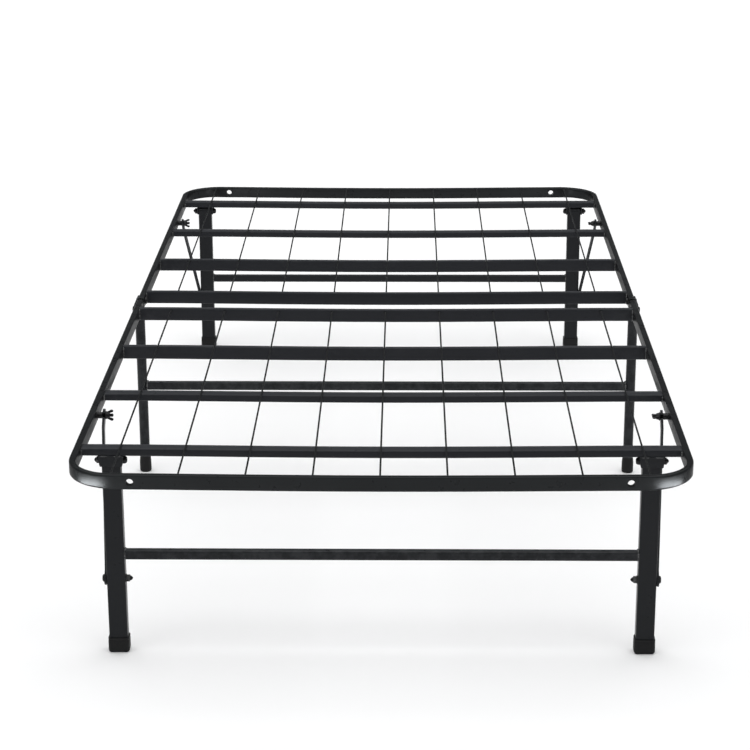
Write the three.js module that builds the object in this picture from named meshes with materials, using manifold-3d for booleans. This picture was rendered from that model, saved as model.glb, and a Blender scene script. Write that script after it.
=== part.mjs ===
// Folding steel platform bed frame, twin size. Millimetres, +Z up.
// The origin is on the floor under the middle of the bed: the fold line is the X axis, the bed's length
// runs along Y, and the front half lies at -Y. The back half is the front half turned half a turn about Z.
import * as THREE from 'three';
import { mergeVertices } from 'three/addons/utils/BufferGeometryUtils.js';
import Module from 'manifold-3d';

const wasm = await Module();
wasm.setup();

// Overall size
const WIDTH = 965;
const LENGTH = 1905;
const HEIGHT = 355.6;
const GAP = 0.3;                    // clearance between pieces that touch

// Rectangular tube of the rim and of the slats
const TUBE_TALL = 24;
const RAIL_ACROSS = 11;
const SLAT_ACROSS = 12;
const WALL = 1.2;
const EDGE_ROUND = 2;
const CORNER_RADIUS = 78;           // outer radius of the rim's bent corners
const FOLD_GAP = 8;                 // between the two halves' rail ends

// Slats of one half, as distances of their middles from the fold line
const FLAT_SLATS = { end: 817.5, inner: 551.3 };
const TALL_SLATS = { middle: 298.3, hinge: 58 };
const FLAT_DROP = 3.6;              // slat top below the rim's top
const TALL_DROP = 0.5;

// Longitudinal support wires of one half
const WIRE_COUNT = 9;
const WIRE_SPACING = 102.4;
const WIRE_RADIUS = 1.5;
const WIRE_HOLE_RADIUS = 1.9;
const WIRE_DIP = 3;                 // a wire dips this far to enter the hinge slat
const RIM_NOTCH_DEPTH = 4;          // the other end lies in a notch in the rim's inner top edge

// End legs, their feet and their cross bars
const LEG_X = 425.4;
const LEG_ACROSS = 30;
const LEG_DEEP = 20;
const LEG_PIVOT = { y: 817.2, z: 329.5 };   // y is the distance from the fold line
const LEG_LOW_BOLT_Z = 126.5;
const BOLT_RADIUS = 4;
const SHEET = 2.3;                  // thickness of the folded brackets
const BRACKET_BOTTOM = 322;
const BRACKET_TOP_HALF = 20;
const BAR = 15;                     // square cross bar
const END_BAR_Z = 168.6;
const FOOT_FLOOR = 4;
const FOOT_WALL = 1.8;
const FOOT_HEIGHT = 26;

// Braces, from the leg's low bolt up to the stud on the side rail
const STUD_Y = 646;                 // distance from the fold line
const STUD_RADIUS = 2.9;
const SPACER_RADIUS = 5.5;
const SPACER_LENGTH = 9.4;
const STUD_LENGTH = 27;
const BRACE_WIDE = 14;
const BRACE_THICK = 4;
const BRACE_END = 11;               // the brace runs on this far past its holes
const HOOK_SLANT = { along: -0.37, across: 0.93 };  // the way the stud leaves the hook
const NUT_HEIGHT = 7;
const WING_REACH = 9.6;
const WING_HEIGHT = 13.5;

// Hinge plates and centre legs
const HINGE_Y = 29;                 // pivot distance from the fold line
const PLATE_HALF = 39;
const PLATE_THICK = 2.5;
const PLATE_TOP = 354;
const SADDLE_HALF = 16;
const CENTRE_LEG_X = 479;
const CENTRE_LEG_Y = 0;
const CENTRE_LEG_RADIUS = 9.5;
const CENTRE_BAR_Z = 178.5;
const CENTRE_FOOT_RADIUS = 11.5;
const CENTRE_FOOT_HEIGHT = 30;

const BOARD_HOLE = { x: 380, radius: 5.9 };       // holes for a headboard bracket
const SIDES = 12;                   // sides of a faceted round

// Worked out from the above
const HALF_WIDTH = WIDTH / 2;
const RAIL_INNER_X = HALF_WIDTH - RAIL_ACROSS;
const RAIL_MID_Z = HEIGHT - TUBE_TALL / 2;
const FLAT_TOP = HEIGHT - FLAT_DROP;
const FLAT_BOTTOM = FLAT_TOP - SLAT_ACROSS;
const WIRE_Z = FLAT_TOP + GAP + WIRE_RADIUS;
const wireXs = Array.from({ length: WIRE_COUNT }, (_, i) => (i - (WIRE_COUNT - 1) / 2) * WIRE_SPACING);
const LEG_OUTER_X = LEG_X + LEG_ACROSS / 2;
const SADDLE_TOP = HEIGHT - TUBE_TALL - GAP;
const SADDLE_BOTTOM = SADDLE_TOP - PLATE_THICK;
const PLATE_INNER_X = HALF_WIDTH + GAP;
const PLATE_OUTER_X = PLATE_INNER_X + PLATE_THICK;

const powderCoat = new THREE.MeshStandardMaterial({ color: 0x17191b, roughness: 0.5, metalness: 0.3 });
const blackPlastic = new THREE.MeshStandardMaterial({ color: 0x0c0c0d, roughness: 0.75, metalness: 0 });
const blackZinc = new THREE.MeshStandardMaterial({ color: 0x0e0f10, roughness: 0.38, metalness: 0.6 });

// ---------- booleans ----------

function solid(geometry) {
  const bare = new THREE.BufferGeometry();
  bare.setAttribute('position', geometry.getAttribute('position').clone());
  if (geometry.index) bare.setIndex(geometry.index.clone());
  const merged = mergeVertices(bare, 1e-4);
  const vertProperties = new Float32Array(merged.getAttribute('position').array);
  const triVerts = new Uint32Array(merged.index.array);
  return new wasm.Manifold(new wasm.Mesh({ numProp: 3, vertProperties, triVerts }));
}

function geometryOf(body) {
  const mesh = body.getMesh();
  const geometry = new THREE.BufferGeometry();
  geometry.setAttribute('position', new THREE.BufferAttribute(mesh.vertProperties, 3));
  geometry.setIndex(new THREE.BufferAttribute(mesh.triVerts, 1));
  geometry.computeVertexNormals();
  return geometry;
}

const joined = (...parts) => parts.reduce((whole, part) => whole.add(part));
const cut = (body, ...tools) => tools.reduce((whole, tool) => whole.subtract(tool), body);

// ---------- shapes ----------

function roundedRect(width, height, radius) {
  const x = width / 2;
  const y = height / 2;
  const shape = new THREE.Shape();
  shape.moveTo(-x + radius, -y);
  shape.absarc(x - radius, -y + radius, radius, -Math.PI / 2, 0);
  shape.absarc(x - radius, y - radius, radius, 0, Math.PI / 2);
  shape.absarc(-x + radius, y - radius, radius, Math.PI / 2, Math.PI);
  shape.absarc(-x + radius, -y + radius, radius, Math.PI, 1.5 * Math.PI);
  return shape;
}

function tubeSection(width, height, radius, wall) {
  const shape = roundedRect(width, height, radius);
  const x = width / 2 - wall;
  const y = height / 2 - wall;
  const bore = [[-x, -y], [-x, y], [x, y], [x, -y]].map(([a, b]) => new THREE.Vector2(a, b));
  shape.holes.push(new THREE.Path(bore));
  return shape;
}

function polygon(points) {
  return new THREE.Shape(points.map(([x, y]) => new THREE.Vector2(x, y)));
}

// Extrudes a shape drawn in XY along +Z, centred on Z = 0.
function prism(shape, length, curveSegments = 1) {
  const geometry = new THREE.ExtrudeGeometry(shape, { depth: length, bevelEnabled: false, curveSegments });
  return geometry.translate(0, 0, -length / 2);
}

// Turns a prism so that it runs along X; its drawn x becomes Y and its drawn y becomes Z.
const alongX = (geometry) => geometry.rotateZ(Math.PI / 2).rotateY(Math.PI / 2);
// Turns a prism so that it runs along Y; its drawn x becomes X and its drawn y becomes Z.
const alongY = (geometry) => geometry.rotateX(Math.PI / 2);

function box(x0, x1, y0, y1, z0, z1) {
  const geometry = new THREE.BoxGeometry(Math.abs(x1 - x0), Math.abs(y1 - y0), Math.abs(z1 - z0));
  return geometry.translate((x0 + x1) / 2, (y0 + y1) / 2, (z0 + z1) / 2);
}

// A round rod along X from x0 to x1.
function rodX(x0, x1, y, z, radius, sides = SIDES) {
  const geometry = new THREE.CylinderGeometry(radius, radius, Math.abs(x1 - x0), sides);
  return geometry.rotateZ(Math.PI / 2).translate((x0 + x1) / 2, y, z);
}

// A round turned piece about an X axis. profile lists [distance along X, radius], out from x0.
function turnedX(x0, direction, y, z, profile, sides = SIDES) {
  const points = [[0, 0], ...profile, [profile.at(-1)[0], 0]];
  const geometry = new THREE.LatheGeometry(points.map(([h, r]) => new THREE.Vector2(r, h)), sides);
  return geometry.rotateZ(-direction * Math.PI / 2).translate(x0, y, z);
}

const domeNut = (x0, direction, y, z, length) => turnedX(x0, direction, y, z, [
  [0, 6.9], [1.4, 6.9], [1.4, 5.9], [length * 0.5, 5.9], [length, 2],
], 8);
const boltHead = (x0, direction, y, z, length) => turnedX(x0, direction, y, z, [
  [0, 6.4], [length * 0.5, 5.9], [length, 2.6],
], 8);

// ---------- one half: rim, slats and wires ----------

// The plan of the rim's bent tube, as a band that lies inset from the outer line by near and far.
function rimBand(near, far, reach) {
  const end = LENGTH / 2;
  const outer = HALF_WIDTH - near;
  const inner = HALF_WIDTH - far;
  const centreX = HALF_WIDTH - CORNER_RADIUS;
  const centreY = -end + CORNER_RADIUS;
  const shape = new THREE.Shape();
  shape.moveTo(outer, -reach);
  shape.absarc(centreX, centreY, CORNER_RADIUS - near, 0, -Math.PI / 2, true);
  shape.absarc(-centreX, centreY, CORNER_RADIUS - near, -Math.PI / 2, -Math.PI, true);
  shape.lineTo(-outer, -reach);
  shape.lineTo(-inner, -reach);
  shape.absarc(-centreX, centreY, CORNER_RADIUS - far, -Math.PI, -Math.PI / 2, false);
  shape.absarc(centreX, centreY, CORNER_RADIUS - far, -Math.PI / 2, 0, false);
  shape.lineTo(inner, -reach);
  return shape;
}

function rim() {
  const skin = new THREE.ExtrudeGeometry(rimBand(0, RAIL_ACROSS, FOLD_GAP / 2), {
    depth: TUBE_TALL - 2 * EDGE_ROUND,
    bevelThickness: EDGE_ROUND,
    bevelSize: EDGE_ROUND,
    bevelOffset: -EDGE_ROUND,
    bevelSegments: 1,
    curveSegments: 7,
  }).translate(0, 0, HEIGHT - TUBE_TALL + EDGE_ROUND);
  const bore = prism(rimBand(WALL, RAIL_ACROSS - WALL, 0), TUBE_TALL - 2 * WALL, 7)
    .translate(0, 0, RAIL_MID_Z);
  let body = cut(solid(skin), solid(bore));
  const outerY = -LENGTH / 2;
  for (const side of [-1, 1]) {
    const hole = new THREE.CylinderGeometry(BOARD_HOLE.radius, BOARD_HOLE.radius, 4 * RAIL_ACROSS, SIDES);
    const spacer = rodX(
      side * (RAIL_INNER_X + WALL / 2), side * (RAIL_INNER_X - SPACER_LENGTH), -STUD_Y, RAIL_MID_Z, SPACER_RADIUS,
    );
    const stud = rodX(
      side * (RAIL_INNER_X - SPACER_LENGTH + 1), side * (RAIL_INNER_X - STUD_LENGTH),
      -STUD_Y, RAIL_MID_Z, STUD_RADIUS, 12,
    );
    const pivotHole = rodX(side * (RAIL_INNER_X - 5), side * (HALF_WIDTH + 5), -HINGE_Y, RAIL_MID_Z, BOLT_RADIUS + GAP);
    body = cut(body, solid(hole.translate(side * BOARD_HOLE.x, outerY, RAIL_MID_Z)), solid(pivotHole));
    body = joined(body, joined(solid(spacer), solid(stud)));
  }
  const half = WIRE_RADIUS + GAP;
  const inner = outerY + RAIL_ACROSS;
  const notches = wireXs.map((x) => solid(
    box(x - half, x + half, inner - RIM_NOTCH_DEPTH, inner + 1, WIRE_Z - half, HEIGHT + 1),
  ));
  return geometryOf(cut(body, ...notches));
}

// Round holes for the wires' dipped ends in the wall at y.
function wireHoles(y) {
  return wireXs.map((x) => {
    const hole = new THREE.CylinderGeometry(WIRE_HOLE_RADIUS, WIRE_HOLE_RADIUS, 4 * WALL, 8);
    return solid(hole.translate(x, y, WIRE_Z - WIRE_DIP));
  });
}

function slatTube(tall) {
  const [deep, high] = tall ? [SLAT_ACROSS, TUBE_TALL] : [TUBE_TALL, SLAT_ACROSS];
  return alongX(prism(tubeSection(deep, high, EDGE_ROUND, WALL), 2 * (RAIL_INNER_X - GAP)));
}

function flatSlat(fromFold) {
  return slatTube(false).translate(0, -fromFold, FLAT_TOP - SLAT_ACROSS / 2);
}

// The middle tall slat is notched so that the wires lie flush; the hinge slat takes their ends.
function notchedSlat(fromFold) {
  const tube = slatTube(true).translate(0, -fromFold, HEIGHT - TALL_DROP - TUBE_TALL / 2);
  const half = WIRE_RADIUS + GAP + 0.1;
  const notches = wireXs.map((x) => solid(
    box(x - half, x + half, -fromFold - SLAT_ACROSS, -fromFold + SLAT_ACROSS, WIRE_Z - half, HEIGHT + 2),
  ));
  return geometryOf(cut(solid(tube), ...notches));
}

function hingeSlat(fromFold) {
  const tube = slatTube(true).translate(0, -fromFold, HEIGHT - TALL_DROP - TUBE_TALL / 2);
  return geometryOf(cut(solid(tube), ...wireHoles(-fromFold - SLAT_ACROSS / 2)));
}

// A path through listed points, one extrusion step for each.
class PointPath extends THREE.Curve {
  constructor(points) {
    super();
    this.points = points;
  }

  getPoint(t, target = new THREE.Vector3()) {
    const place = Math.min(t, 1) * (this.points.length - 1);
    const i = Math.min(Math.floor(place), this.points.length - 2);
    return target.lerpVectors(this.points[i], this.points[i + 1], place - i);
  }

  getUtoTmapping(u) {
    return u;
  }
}

function wire() {
  const rimEnd = -LENGTH / 2 + RAIL_ACROSS - RIM_NOTCH_DEPTH + GAP;
  const slatEnd = -TALL_SLATS.hinge - SLAT_ACROSS / 2;
  const points = [
    new THREE.Vector3(0, rimEnd, WIRE_Z),
    new THREE.Vector3(0, slatEnd - 12, WIRE_Z),
    new THREE.Vector3(0, slatEnd - 3, WIRE_Z - WIRE_DIP),
    new THREE.Vector3(0, slatEnd + 3, WIRE_Z - WIRE_DIP),
  ];
  const section = new THREE.Shape().absarc(0, 0, WIRE_RADIUS, 0, 2 * Math.PI);
  return new THREE.ExtrudeGeometry(section, {
    steps: points.length - 1, curveSegments: 3, extrudePath: new PointPath(points),
  });
}

// ---------- end legs ----------

function endLeg(side) {
  const { y, z } = LEG_PIVOT;
  const foot = FOOT_FLOOR + GAP;
  const top = z + LEG_DEEP / 2;
  const tube = prism(tubeSection(LEG_ACROSS, LEG_DEEP, 3, WALL), top - foot).translate(0, 0, (top + foot) / 2);
  const sideView = new THREE.Shape();
  sideView.moveTo(-LEG_DEEP, foot - 1);
  sideView.lineTo(LEG_DEEP, foot - 1);
  sideView.lineTo(LEG_DEEP, z);
  sideView.lineTo(LEG_DEEP / 2, z);
  sideView.absarc(0, z, LEG_DEEP / 2, 0, Math.PI);
  sideView.lineTo(-LEG_DEEP, z);
  const rounding = alongX(prism(sideView, 2 * LEG_ACROSS, 6));
  const half = LEG_ACROSS / 2;
  const headStart = half + BRACE_THICK + 2 * GAP;
  const low = LEG_LOW_BOLT_Z;
  const body = joined(
    solid(tube).intersect(solid(rounding)),
    solid(rodX(-half - 1, half + BRACE_THICK + 1.5, 0, low, BOLT_RADIUS, 8)),
    solid(domeNut(-half + 0.2, -1, 0, low, 11.6)),
    solid(boltHead(headStart, 1, 0, low, 3.4)),
  );
  const pivotHole = rodX(-LEG_ACROSS, LEG_ACROSS, 0, z, BOLT_RADIUS + GAP);
  const geometry = geometryOf(cut(body, solid(pivotHole)));
  return (side < 0 ? geometry.rotateZ(Math.PI) : geometry).translate(side * LEG_X, -y, 0);
}

// A bracket under the end slat: a front web, two cheeks and the leg's pivot bolt.
function pivotBracket(side) {
  const { y, z } = LEG_PIVOT;
  const half = LEG_ACROSS / 2 + 0.4;
  const outer = half + SHEET;
  const front = -LEG_DEEP / 2 - 0.5;
  const top = FLAT_BOTTOM - GAP;
  const web = alongY(prism(polygon([
    [-outer, BRACKET_BOTTOM], [outer, BRACKET_BOTTOM], [BRACKET_TOP_HALF, z + 6],
    [BRACKET_TOP_HALF, top], [-BRACKET_TOP_HALF, top], [-BRACKET_TOP_HALF, z + 6],
  ]), SHEET)).translate(0, front - SHEET / 2, 0);
  const cheeks = [-1, 1].map((s) => solid(
    box(s * half, s * outer, front - SHEET / 2, LEG_DEEP / 2, BRACKET_BOTTOM, top),
  ));
  const body = joined(
    solid(web), ...cheeks,
    solid(rodX(-outer, outer, 0, z, BOLT_RADIUS, 8)),
    solid(domeNut(outer - 0.2, 1, 0, z, 10)),
    solid(boltHead(-outer + 0.2, -1, 0, z, 7.4)),
  );
  const geometry = geometryOf(body);
  return (side < 0 ? mirrored(geometry) : geometry).translate(side * LEG_X, -y, 0);
}

// The mirror image of a geometry in the plane X = 0, with its faces turned out again.
function mirrored(geometry) {
  const copy = geometry.clone().scale(-1, 1, 1);
  const index = copy.index.array;
  for (let i = 0; i < index.length; i += 3) [index[i], index[i + 1]] = [index[i + 1], index[i]];
  copy.computeVertexNormals();
  return copy;
}

function endBar() {
  const length = 2 * (LEG_X - LEG_ACROSS / 2 - GAP);
  return alongX(prism(tubeSection(BAR, BAR, EDGE_ROUND, WALL), length)).translate(0, -LEG_PIVOT.y, END_BAR_Z);
}

function endFoot() {
  const wide = LEG_ACROSS + 2 * (GAP + FOOT_WALL);
  const deep = LEG_DEEP + 2 * (GAP + FOOT_WALL);
  const round = 2.5;
  const cup = new THREE.ExtrudeGeometry(roundedRect(wide, deep, 5), {
    depth: FOOT_HEIGHT - 2 * round,
    bevelThickness: round,
    bevelSize: round,
    bevelOffset: -round,
    bevelSegments: 1,
    curveSegments: 2,
  }).translate(0, 0, round);
  const pocket = prism(roundedRect(LEG_ACROSS + 2 * GAP, LEG_DEEP + 2 * GAP, 3), FOOT_HEIGHT, 1)
    .translate(0, 0, FOOT_FLOOR + FOOT_HEIGHT / 2);
  return geometryOf(cut(solid(cup), solid(pocket)));
}

// ---------- braces ----------

const braceRun = LEG_PIVOT.y - STUD_Y;
const braceRise = RAIL_MID_Z - LEG_LOW_BOLT_Z;
const braceLength = Math.hypot(braceRun, braceRise);
const braceAngle = Math.atan2(braceRise, braceRun);

// Drawn along +X from the low bolt, then stood up from the leg to the stud. The bar is flat at both ends
// and slants out between them. Its upper end is a hook, open on the side towards the bed's end.
function brace(side) {
  const low = LEG_OUTER_X + GAP;
  const high = RAIL_INNER_X - SPACER_LENGTH - GAP - BRACE_THICK;
  const bends = [[-BRACE_END, low], [14, low], [braceLength - 24, high], [braceLength + BRACE_END, high]];
  const edge = [
    ...bends.map(([s, x]) => [s, side * x]),
    ...bends.toReversed().map(([s, x]) => [s, side * (x + BRACE_THICK)]),
  ];
  const profile = prism(polygon(edge), 2 * BRACE_WIDE).rotateX(Math.PI / 2);
  const half = BRACE_WIDE / 2;
  const outline = new THREE.Shape();
  outline.absarc(-BRACE_END + half, 0, half, Math.PI / 2, 1.5 * Math.PI);
  outline.absarc(braceLength + BRACE_END - half, 0, half, -Math.PI / 2, Math.PI / 2);
  outline.closePath();
  const plan = prism(outline, 4 * WIDTH, 5);
  const pivot = new THREE.CylinderGeometry(BOLT_RADIUS + 2 * GAP, BOLT_RADIUS + 2 * GAP, 4 * WIDTH, SIDES);
  const seat = new THREE.CylinderGeometry(STUD_RADIUS + GAP, STUD_RADIUS + GAP, 4 * WIDTH, SIDES);
  const slotWide = 2 * (STUD_RADIUS + GAP);
  const slot = box(-slotWide / 2, slotWide / 2, 0, 3 * half, -2 * WIDTH, 2 * WIDTH)
    .rotateZ(Math.atan2(-HOOK_SLANT.along, HOOK_SLANT.across)).translate(braceLength, 0, 0);
  const flat = cut(
    solid(plan), solid(pivot.rotateX(Math.PI / 2)),
    solid(seat.rotateX(Math.PI / 2).translate(braceLength, 0, 0)), solid(slot),
  );
  // Drawn x is the length, drawn y the width and drawn z the world's X.
  const bar = geometryOf(solid(profile).intersect(flat));
  const toWorld = new THREE.Matrix4().makeBasis(
    new THREE.Vector3(0, Math.cos(braceAngle), Math.sin(braceAngle)),
    new THREE.Vector3(0, -Math.sin(braceAngle), Math.cos(braceAngle)),
    new THREE.Vector3(1, 0, 0),
  );
  return bar.applyMatrix4(toWorld).translate(0, -LEG_PIVOT.y, LEG_LOW_BOLT_Z);
}

// A wing nut on the stud, its wings spread by turn about the stud's axis.
function wingNut(side, turn) {
  const start = RAIL_INNER_X - SPACER_LENGTH - 2 * GAP - BRACE_THICK;
  const hub = turnedX(0, 1, 0, 0, [[0, 7], [1.4, 7], [NUT_HEIGHT, 4.8]], SIDES);
  const wing = new THREE.Shape();
  wing.moveTo(0, 3);
  wing.lineTo(0.8, 6);
  wing.lineTo(WING_HEIGHT - 4, WING_REACH);
  wing.absarc(WING_HEIGHT - 3, WING_REACH - 2.6, 3, Math.PI / 2, -Math.PI / 3, true);
  wing.lineTo(NUT_HEIGHT - 0.5, 3.4);
  const wings = [0, Math.PI].map((around) => solid(prism(wing, 2.4, 3).rotateX(around)));
  const bore = rodX(-2, WING_HEIGHT + 4, 0, 0, STUD_RADIUS + GAP);
  const nut = cut(joined(solid(hub), ...wings), solid(bore));
  const geometry = geometryOf(nut).rotateX(turn);
  return (side > 0 ? geometry.rotateZ(Math.PI) : geometry).translate(side * start, -STUD_Y, RAIL_MID_Z);
}

// ---------- centre support ----------

// A saddle under the rail ends, an outer plate and the two hinge pins of one side.
function hingePlate(side) {
  const flat = roundedRect(2 * PLATE_HALF, PLATE_TOP - SADDLE_TOP, 10);
  const plate = alongX(prism(flat, PLATE_THICK, 4))
    .translate((PLATE_INNER_X + PLATE_OUTER_X) / 2, 0, (PLATE_TOP + SADDLE_TOP) / 2);
  const skirt = box(PLATE_INNER_X, PLATE_OUTER_X, -SADDLE_HALF, SADDLE_HALF, SADDLE_BOTTOM, SADDLE_TOP + 4);
  const saddle = box(
    CENTRE_LEG_X - CENTRE_LEG_RADIUS, PLATE_OUTER_X, -SADDLE_HALF, SADDLE_HALF, SADDLE_BOTTOM, SADDLE_TOP,
  );
  const pins = [-1, 1].flatMap((end) => [
    solid(rodX(RAIL_INNER_X - 2, PLATE_OUTER_X, end * HINGE_Y, RAIL_MID_Z, BOLT_RADIUS)),
    solid(boltHead(PLATE_OUTER_X - 0.2, 1, end * HINGE_Y, RAIL_MID_Z, 3.7)),
    solid(boltHead(RAIL_INNER_X - GAP, -1, end * HINGE_Y, RAIL_MID_Z, 5)),
  ]);
  const geometry = geometryOf(joined(solid(plate), solid(skirt), solid(saddle), ...pins));
  return side < 0 ? mirrored(geometry) : geometry;
}

function centreLeg(side) {
  const section = new THREE.Shape().absarc(0, 0, CENTRE_LEG_RADIUS, 0, 2 * Math.PI);
  section.holes.push(new THREE.Path().absarc(0, 0, CENTRE_LEG_RADIUS - WALL, 0, 2 * Math.PI));
  const foot = FOOT_FLOOR + GAP;
  const top = SADDLE_BOTTOM - GAP;
  return prism(section, top - foot, 8).translate(side * CENTRE_LEG_X, CENTRE_LEG_Y, (top + foot) / 2);
}

function centreBar() {
  const length = 2 * (CENTRE_LEG_X - CENTRE_LEG_RADIUS - GAP);
  return alongX(prism(tubeSection(BAR, BAR, EDGE_ROUND, WALL), length)).translate(0, CENTRE_LEG_Y, CENTRE_BAR_Z);
}

function centreFoot(side) {
  const pocket = CENTRE_LEG_RADIUS + GAP;
  const outer = CENTRE_FOOT_RADIUS;
  const profile = [
    [0, 0], [outer - 2.5, 0], [outer - 0.7, 0.8], [outer, 2.6], [outer, CENTRE_FOOT_HEIGHT - 7],
    [pocket + 1, CENTRE_FOOT_HEIGHT], [pocket, CENTRE_FOOT_HEIGHT], [pocket, FOOT_FLOOR], [0, FOOT_FLOOR],
  ];
  const cup = new THREE.LatheGeometry(profile.map(([r, h]) => new THREE.Vector2(r, h)), 16);
  return cup.rotateX(Math.PI / 2).translate(side * CENTRE_LEG_X, CENTRE_LEG_Y, 0);
}

// ---------- assembly ----------

function named(name, geometry, material) {
  const mesh = new THREE.Mesh(geometry, material);
  mesh.name = name;
  return mesh;
}

const word = (side) => (side < 0 ? 'left' : 'right');

// One half with its leg frame. turned is 1 for the front half and -1 for the back half, whose left is
// the front half's right.
function halfBed(end, turned) {
  const half = new THREE.Group();
  half.rotation.z = turned > 0 ? 0 : Math.PI;
  half.add(
    named(`${end}_rim`, rim(), powderCoat),
    named(`${end}_end_slat`, flatSlat(FLAT_SLATS.end), powderCoat),
    named(`${end}_inner_slat`, flatSlat(FLAT_SLATS.inner), powderCoat),
    named(`${end}_middle_slat`, notchedSlat(TALL_SLATS.middle), powderCoat),
    named(`${end}_hinge_slat`, hingeSlat(TALL_SLATS.hinge), powderCoat),
    named(`${end}_leg_bar`, endBar(), powderCoat),
  );
  wireXs.forEach((x, i) => {
    const strand = named(`${end}_wire_${turned > 0 ? i + 1 : WIRE_COUNT - i}`, wire(), powderCoat);
    strand.position.x = x;
    half.add(strand);
  });
  for (const side of [-1, 1]) {
    const hand = word(side * turned);
    const foot = named(`${end}_foot_${hand}`, endFoot(), blackPlastic);
    foot.position.set(side * LEG_X, -LEG_PIVOT.y, 0);
    half.add(
      named(`${end}_leg_${hand}`, endLeg(side), powderCoat),
      foot,
      named(`${end}_pivot_bracket_${hand}`, pivotBracket(side), powderCoat),
      named(`${end}_brace_${hand}`, brace(side), powderCoat),
      named(`${end}_wing_nut_${hand}`, wingNut(side, side * turned < 0 ? 0 : Math.PI / 2), blackZinc),
    );
  }
  return half;
}

const bed = new THREE.Group();
bed.add(halfBed('front', 1), halfBed('back', -1), named('centre_leg_bar', centreBar(), powderCoat));
for (const side of [-1, 1]) {
  bed.add(
    named(`hinge_plate_${word(side)}`, hingePlate(side), powderCoat),
    named(`centre_leg_${word(side)}`, centreLeg(side), powderCoat),
    named(`centre_foot_${word(side)}`, centreFoot(side), blackPlastic),
  );
}

export default bed;
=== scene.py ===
"""Looks of the folding platform bed frame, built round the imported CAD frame.

Pieces are drawn in millimetres. Material and modifier settings, the floor, the lights and the camera
are in metres.
"""
import math
import random

import bmesh
import bpy
from mathutils import Matrix, Vector


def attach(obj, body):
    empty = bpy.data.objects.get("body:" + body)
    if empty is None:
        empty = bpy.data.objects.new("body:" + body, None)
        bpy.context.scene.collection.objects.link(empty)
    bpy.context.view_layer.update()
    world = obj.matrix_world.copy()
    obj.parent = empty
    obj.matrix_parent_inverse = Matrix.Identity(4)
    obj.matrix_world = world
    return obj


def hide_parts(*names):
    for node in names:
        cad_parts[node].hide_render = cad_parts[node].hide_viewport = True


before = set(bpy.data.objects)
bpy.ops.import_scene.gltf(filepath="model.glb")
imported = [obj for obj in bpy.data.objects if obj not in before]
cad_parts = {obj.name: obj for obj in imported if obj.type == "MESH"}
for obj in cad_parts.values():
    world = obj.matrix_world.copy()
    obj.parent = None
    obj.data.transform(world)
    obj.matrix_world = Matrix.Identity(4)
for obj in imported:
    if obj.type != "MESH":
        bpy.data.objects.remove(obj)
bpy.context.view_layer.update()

# ---------- sizes ----------
# They follow the CAD. BOW, and the radii of the holes, hook and bolts, are this model's own.

WIDTH, LENGTH, HEIGHT = 965, 1905, 355.6
TUBE_TALL, RAIL_ACROSS, SLAT_ACROSS = 24, 11, 12
CORNER = 78
FOLD_GAP = 8
RAIL_INNER = WIDTH / 2 - RAIL_ACROSS
RAIL_MID_Z = HEIGHT - TUBE_TALL / 2
END_SLAT, INNER_SLAT, MIDDLE_SLAT, HINGE_SLAT = 817.5, 551.3, 298.3, 58
FLAT_TOP = HEIGHT - 3.6
TALL_TOP = HEIGHT - 0.5
WIRE_XS = [(i - 4) * 102.4 for i in range(9)]
WIRE_R = 1.5
WIRE_Z = FLAT_TOP + 0.3 + WIRE_R
LEG_X, LEG_Y, LEG_ACROSS, LEG_DEEP = 425.4, 817.2, 30, 20
PIVOT_Z, LOW_BOLT_Z = 329.5, 126.5
BRACKET_BOTTOM, BRACKET_TOP_HALF, SHEET = 322, 20, 2.3
BAR, END_BAR_Z = 15, 168.6
STUD_Y, SPACER_LENGTH, STUD_LENGTH = 646, 9.4, 27
SPACER_R = 5.5
BRACE_WIDE, BRACE_THICK, BRACE_END = 14, 4, 11
HINGE_Y, PLATE_HALF, PLATE_THICK, PLATE_TOP = 29, 39, 2.5, 354
SADDLE_HALF = 16
BOARD_HOLE_X, BOARD_HOLE_R = 380, 5.75
BOW = 3
SLAT_CORNER, BAR_CORNER = 2.2, 2.2
HOOK_R = 3.25
BOLT_R = 3.9
CENTRE_X, CENTRE_Y, CENTRE_R, CENTRE_BAR_Z = 479, 0, 9.5, 178.5

# ---------- node materials ----------


def new_material(name):
    mat = bpy.data.materials.new(name)
    mat.use_nodes = True
    nodes = mat.node_tree.nodes
    return mat, nodes, mat.node_tree.links, nodes["Principled BSDF"]


def noise(nodes, links, coords, scale, detail=3.0, rough=0.5):
    tex = nodes.new("ShaderNodeTexNoise")
    tex.inputs["Scale"].default_value = scale
    tex.inputs["Detail"].default_value = detail
    tex.inputs["Roughness"].default_value = rough
    links.new(coords.outputs["Object"], tex.inputs["Vector"])
    return tex


def spread(nodes, links, source, lo, hi, from_lo=0.3, from_hi=0.7):
    """Maps a value that runs from from_lo to from_hi onto lo to hi."""
    remap = nodes.new("ShaderNodeMapRange")
    remap.inputs["From Min"].default_value = from_lo
    remap.inputs["From Max"].default_value = from_hi
    remap.inputs["To Min"].default_value = lo
    remap.inputs["To Max"].default_value = hi
    links.new(source, remap.inputs["Value"])
    return remap.outputs["Result"]


def mixed(nodes, links, amount, a, b):
    """Mixes two colours, each a tuple or a socket."""
    mix = nodes.new("ShaderNodeMix")
    mix.data_type = "RGBA"
    links.new(amount, mix.inputs["Factor"])
    for socket, value in ((mix.inputs["A"], a), (mix.inputs["B"], b)):
        if isinstance(value, tuple):
            socket.default_value = (*value, 1)
        else:
            links.new(value, socket)
    return mix.outputs["Result"]


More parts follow.
